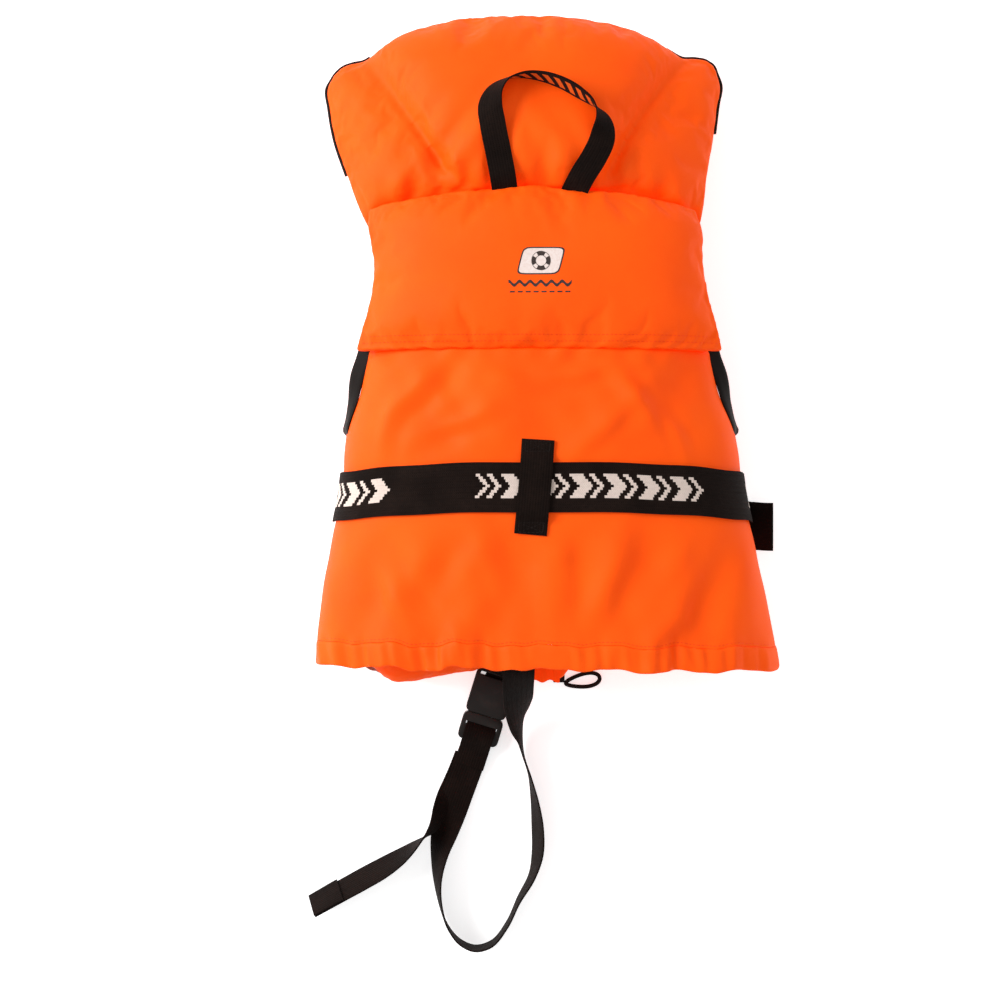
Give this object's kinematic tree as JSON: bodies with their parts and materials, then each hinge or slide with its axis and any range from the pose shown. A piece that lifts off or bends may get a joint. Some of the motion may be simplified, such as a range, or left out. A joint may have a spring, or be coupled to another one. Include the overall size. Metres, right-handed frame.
{
  "type": "life jacket",
  "caption": "Foam life jacket for a child, with padded collar, grab loop, zip, waist belt with side-release buckle and crotch strap, lying on its front.",
  "frame": {"origin": "centre of the jacket's footprint on the ground that it lies on, front down", "axes": "+Y from the hem to the collar, +X to the wearer's right, +Z out of the wearer's back, z = 0 is the ground under the front cushions"},
  "size_m": [0.382, 0.7504, 0.1168],
  "materials": {
    "orange_nylon": "bright orange coated nylon, fine plain weave, slight sheen",
    "foam": "closed-cell foam, matt off-white",
    "black_webbing": "black polypropylene webbing, ribbed weave",
    "black_trim": "black binding tape and piping, fine weave",
    "black_plastic": "moulded black acetal, satin",
    "reflective_tape": "silver reflective tape",
    "print": null,
    "zip_metal": "dark lacquered metal"
  },
  "bodies": {
    "root": {"back_pad_cover": "orange_nylon", "back_pad_foam": "foam", "back_patch": "print", "back_skirt": "orange_nylon", "back_hem": "orange_nylon", "front_cover_left": "orange_nylon", "front_foam_left": "foam", "reflector_left": "reflective_tape", "front_cover_right": "orange_nylon", "front_foam_right": "foam", "reflector_right": "reflective_tape", "shoulder_right": "orange_nylon", "shoulder_left": "orange_nylon", "armhole_binding_left": "black_trim", "armhole_binding_right": "black_trim", "waist_buckle_female": "black_plastic", "waist_belt": "black_webbing", "waist_belt_tail": "black_webbing", "back_keeper": "black_webbing", "front_keeper_left": "black_webbing", "front_keeper_right": "black_webbing", "zip_tape_left": "black_trim", "zip_teeth_left": "black_plastic", "zip_tape_right": "black_trim", "zip_teeth_right": "black_plastic", "zip_foot_box": "black_plastic", "zip_foot_tab": "black_webbing", "zip_foot_loop": "black_webbing", "crotch_buckle_female": "black_plastic", "crotch_buckle_male": "black_plastic", "crotch_anchor_web": "black_webbing", "crotch_strap": "black_webbing", "crotch_strap_tail": "black_webbing"},
    "collar": {"collar_cover": "orange_nylon", "collar_foam_middle": "foam", "collar_foam_left": "foam", "collar_foam_right": "foam", "collar_piping_left": "black_trim", "collar_piping_right": "black_trim"},
    "grab_loop": {"grab_loop": "black_webbing"},
    "zip_slider": {"zip_slider": "zip_metal"},
    "zip_puller": {"zip_puller": "zip_metal"},
    "waist_male": {"waist_buckle_male": "black_plastic"},
    "waist_prong_upper": {"waist_prong_upper": "black_plastic"},
    "waist_prong_lower": {"waist_prong_lower": "black_plastic"},
    "crotch_prong_left": {"crotch_prong_left": "black_plastic"},
    "crotch_prong_right": {"crotch_prong_right": "black_plastic"}
  },
  "joints": [
    {"name": "collar_fold", "type": "hinge", "parent": "root", "child": "collar", "pos_m": [0, 0.1309, 0.1145], "axis": [1, 0, 0], "range_deg": [0, 60]},
    {"name": "grab_loop_swing", "type": "hinge", "parent": "collar", "child": "grab_loop", "pos_m": [-0.009, 0.131, 0.1158], "axis": [1, 0, 0], "range_deg": [0, 100]},
    {"name": "zip_slide", "type": "slide", "parent": "root", "child": "zip_slider", "axis": [0, -1, 0], "range_m": [0, 0.262], "deforming": ["zip_teeth_left", "zip_teeth_right"]},
    {"name": "zip_puller_swing", "type": "hinge", "parent": "zip_slider", "child": "zip_puller", "pos_m": [0, 0.0331, 0.01715], "axis": [1, 0, 0], "range_deg": [0, 160]},
    {"name": "waist_release", "type": "slide", "parent": "root", "child": "waist_male", "axis": [1, 0, 0], "range_m": [0, 0.0254], "deforming": ["waist_prong_upper", "waist_prong_lower"]},
    {"name": "waist_pinch_upper", "type": "hinge", "parent": "waist_male", "child": "waist_prong_upper", "pos_m": [0.0052, -0.0925, 0.009], "axis": [0, 0, 1], "range_deg": [0, 6], "stiffness_Nm_per_rad": 0.5},
    {"name": "waist_pinch_lower", "type": "hinge", "parent": "waist_male", "child": "waist_prong_lower", "pos_m": [0.0052, -0.1285, 0.009], "axis": [0, 0, 1], "range_deg": [-6, 0]},
    {"name": "crotch_pinch_right", "type": "hinge", "parent": "root", "child": "crotch_prong_right", "pos_m": [-0.04, -0.2947, 0.005], "axis": [0, 0, 1], "range_deg": [0, 6], "stiffness_Nm_per_rad": 0.5},
    {"name": "crotch_pinch_left", "type": "hinge", "parent": "root", "child": "crotch_prong_left", "pos_m": [-0.061, -0.2883, 0.005], "axis": [0, 0, 1], "range_deg": [-6, 0]}
  ],
  "couplings": [
    {"joint": "waist_pinch_lower", "follows": "waist_pinch_upper", "ratio": -1},
    {"joint": "crotch_pinch_left", "follows": "crotch_pinch_right", "ratio": -1}
  ]
}
